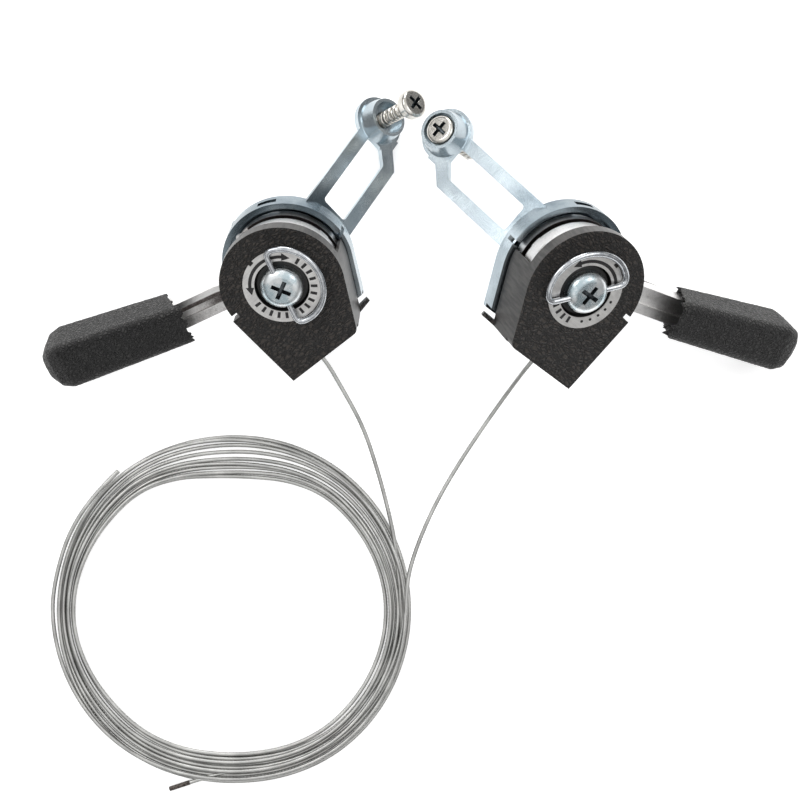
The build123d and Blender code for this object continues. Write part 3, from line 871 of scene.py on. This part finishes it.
def threadTree():
    tree = bpy.data.node_groups.new("rolledThread", "GeometryNodeTree")
    face = tree.interface
    face.new_socket("Geometry", in_out="INPUT", socket_type="NodeSocketGeometry")
    for name in ("Length", "Pitch", "Core", "Crest", "Turns"):
        face.new_socket(name, in_out="INPUT", socket_type="NodeSocketFloat")
    face.new_socket("Finish", in_out="INPUT", socket_type="NodeSocketMaterial")
    face.new_socket("Geometry", in_out="OUTPUT", socket_type="NodeSocketGeometry")
    add = tree.nodes.new
    link = tree.links.new
    given = add("NodeGroupInput").outputs
    middle = add("ShaderNodeMath")
    middle.operation = "ADD"
    link(given["Core"], middle.inputs[0])
    link(given["Crest"], middle.inputs[1])
    half = add("ShaderNodeMath")
    half.operation = "MULTIPLY"
    half.inputs[1].default_value = 0.5
    link(middle.outputs[0], half.inputs[0])
    helix = add("GeometryNodeCurveSpiral")
    helix.inputs["Resolution"].default_value = 36
    link(given["Turns"], helix.inputs["Rotations"])
    link(half.outputs[0], helix.inputs["Start Radius"])
    link(half.outputs[0], helix.inputs["End Radius"])
    link(given["Length"], helix.inputs["Height"])
    ridge = add("GeometryNodeCurvePrimitiveCircle")
    ridge.inputs["Resolution"].default_value = 6
    size = add("ShaderNodeMath")
    size.operation = "MULTIPLY"
    size.inputs[1].default_value = 0.36
    link(given["Pitch"], size.inputs[0])
    link(size.outputs[0], ridge.inputs["Radius"])
    coil = add("GeometryNodeCurveToMesh")
    coil.inputs["Fill Caps"].default_value = True
    link(helix.outputs[0], coil.inputs["Curve"])
    link(ridge.outputs[0], coil.inputs["Profile Curve"])
    shank = add("GeometryNodeMeshCylinder")
    shank.inputs["Vertices"].default_value = 40
    link(given["Core"], shank.inputs["Radius"])
    link(given["Length"], shank.inputs["Depth"])
    lift = add("ShaderNodeMath")
    lift.operation = "MULTIPLY"
    lift.inputs[1].default_value = 0.5
    link(given["Length"], lift.inputs[0])
    up = add("ShaderNodeCombineXYZ")
    link(lift.outputs[0], up.inputs["Z"])
    raised = add("GeometryNodeTransform")
    link(shank.outputs[0], raised.inputs["Geometry"])
    link(up.outputs[0], raised.inputs["Translation"])
    joined = add("GeometryNodeJoinGeometry")
    link(coil.outputs[0], joined.inputs[0])
    link(raised.outputs[0], joined.inputs[0])
    smooth = add("GeometryNodeSetShadeSmooth")
    link(joined.outputs[0], smooth.inputs[0])
    real = add("GeometryNodeRealizeInstances")
    link(smooth.outputs[0], real.inputs[0])
    finish = add("GeometryNodeSetMaterial")
    link(real.outputs[0], finish.inputs["Geometry"])
    link(given["Finish"], finish.inputs["Material"])
    link(finish.outputs[0], add("NodeGroupOutput").inputs[0])
    return tree


rolled = threadTree()


def makeClampScrew(side):
    node = side + "_clamp_screw"
    joint = joints[side + "_clamp_bolt_turn"]
    axis = Vector(joint["axis"]).normalized()
    origin = Vector(joint["pos_m"])
    reach = [(vertex.co - origin).dot(axis) for vertex in frame["nodes"][node].data.vertices]
    far = max(reach)
    tip = min(reach)
    underHead = far - screwHead["height"] * millimetre

    def headOnly(shape):
        shank = [vertex for vertex in shape.verts if (vertex.co - origin).dot(axis) < underHead - 1e-5]
        bmesh.ops.delete(shape, geom=shank, context="VERTS")
        bmesh.ops.holes_fill(shape, edges=[edge for edge in shape.edges if edge.is_boundary], sides=0)

    head = softened(node, side + "_clamp_head", screwHead["rounding"], trim=headOnly)
    paint(head, finishes[side]["nickel"], finishes[side]["recess"])
    # painted shade: faces sunk in the head's recess get the dark finish
    for face in head.data.polygons:
        place = face.center - origin
        height = place.dot(axis)
        aside = (place - axis * height).length
        sunk = height < far - 0.3 * millimetre or face.normal.dot(axis) < 0.6
        inside = aside < screwHead["recess"] * millimetre and height > underHead + 0.2 * millimetre
        face.material_index = int(inside and sunk)
    length = underHead - tip
    mesh = bpy.data.meshes.new(side + "_clamp_thread")
    shank = addObject(side + "_clamp_thread", mesh)
    pitch = thread["pitch"] * millimetre
    grow(shank, rolled, dict(Length=length, Pitch=pitch, Core=thread["core"] * millimetre,
                             Crest=thread["crest"] * millimetre, Turns=length / pitch,
                             Finish=finishes[side]["nickel"]))
    stand = axis.to_track_quat("Z", "Y").to_matrix().to_4x4()
    shank.data.transform(Matrix.Translation(origin + axis * tip) @ stand)
    smoothShade(shank, 40)
    rideWith(shank, node, False)


for side in sides:
    makeClampScrew(side)
print("clamp screws are threaded")

scale = dict(top=0.262, radius=9.7, tickLength=2.0, tickWidth=0.95, thick=0.03)
tickRows = dict(left=(18.6, -14.3, 15), right=(-46.0, -13.8, 5))
dotAngles = dict(left=(), right=(-129.0, -145.0, -161.0, -177.0, 167.0))
arrowSpan = dict(left=(33, 158), right=(20, 145))


def markFaces(shape, side, corners):
    place = unit[side]
    low = [shape.verts.new(place @ Vector((x, y, scale["top"] - 0.02))) for x, y in corners]
    high = [shape.verts.new(place @ Vector((x, y, scale["top"] + scale["thick"]))) for x, y in corners]
    shape.faces.new(high)
    shape.faces.new(list(reversed(low)))
    for k in range(len(corners)):
        after = (k + 1) % len(corners)
        shape.faces.new((low[k], low[after], high[after], high[k]))


def polar(radius, degrees):
    return radius * math.cos(math.radians(degrees)), radius * math.sin(math.radians(degrees))


def makeScale(side):
    shape = bmesh.new()
    first, step, count = tickRows[side]
    inner = scale["radius"] - scale["tickLength"] / 2
    outer = scale["radius"] + scale["tickLength"] / 2
    for k in range(count):
        middle = first + step * k
        half = math.degrees(scale["tickWidth"] / 2 / scale["radius"])
        markFaces(shape, side, [polar(inner, middle - half), polar(outer, middle - half * 0.9),
                                polar(outer, middle + half * 0.9), polar(inner, middle + half)])
    for middle in dotAngles[side]:
        centre = polar(scale["radius"], middle)
        markFaces(shape, side, [(centre[0] + 0.45 * math.cos(k * math.pi / 8),
                                 centre[1] + 0.45 * math.sin(k * math.pi / 8)) for k in range(16)])
    low, high = arrowSpan[side]
    outline = [polar(scale["radius"] + 0.5, angle) for angle in np.linspace(low + 14, high - 14, 24)]
    outline += [polar(scale["radius"] - 0.5, angle) for angle in np.linspace(high - 14, low + 14, 24)]
    markFaces(shape, side, outline)
    for tip, back in ((low, low + 15), (high, high - 15)):
        markFaces(shape, side, [polar(scale["radius"], tip), polar(scale["radius"] + 1.25, back),
                                polar(scale["radius"] - 1.25, back)])
    bmesh.ops.recalc_face_normals(shape, faces=shape.faces)
    mesh = bpy.data.meshes.new(side + "_dial_marks")
    shape.to_mesh(mesh)
    shape.free()
    piece = addObject(side + "_dial_marks", mesh)
    paint(piece, finishes[side]["ink"])
    rideWith(piece, side + "_dial_plate", False)


for side in sides:
    makeScale(side)
print("dials are printed")
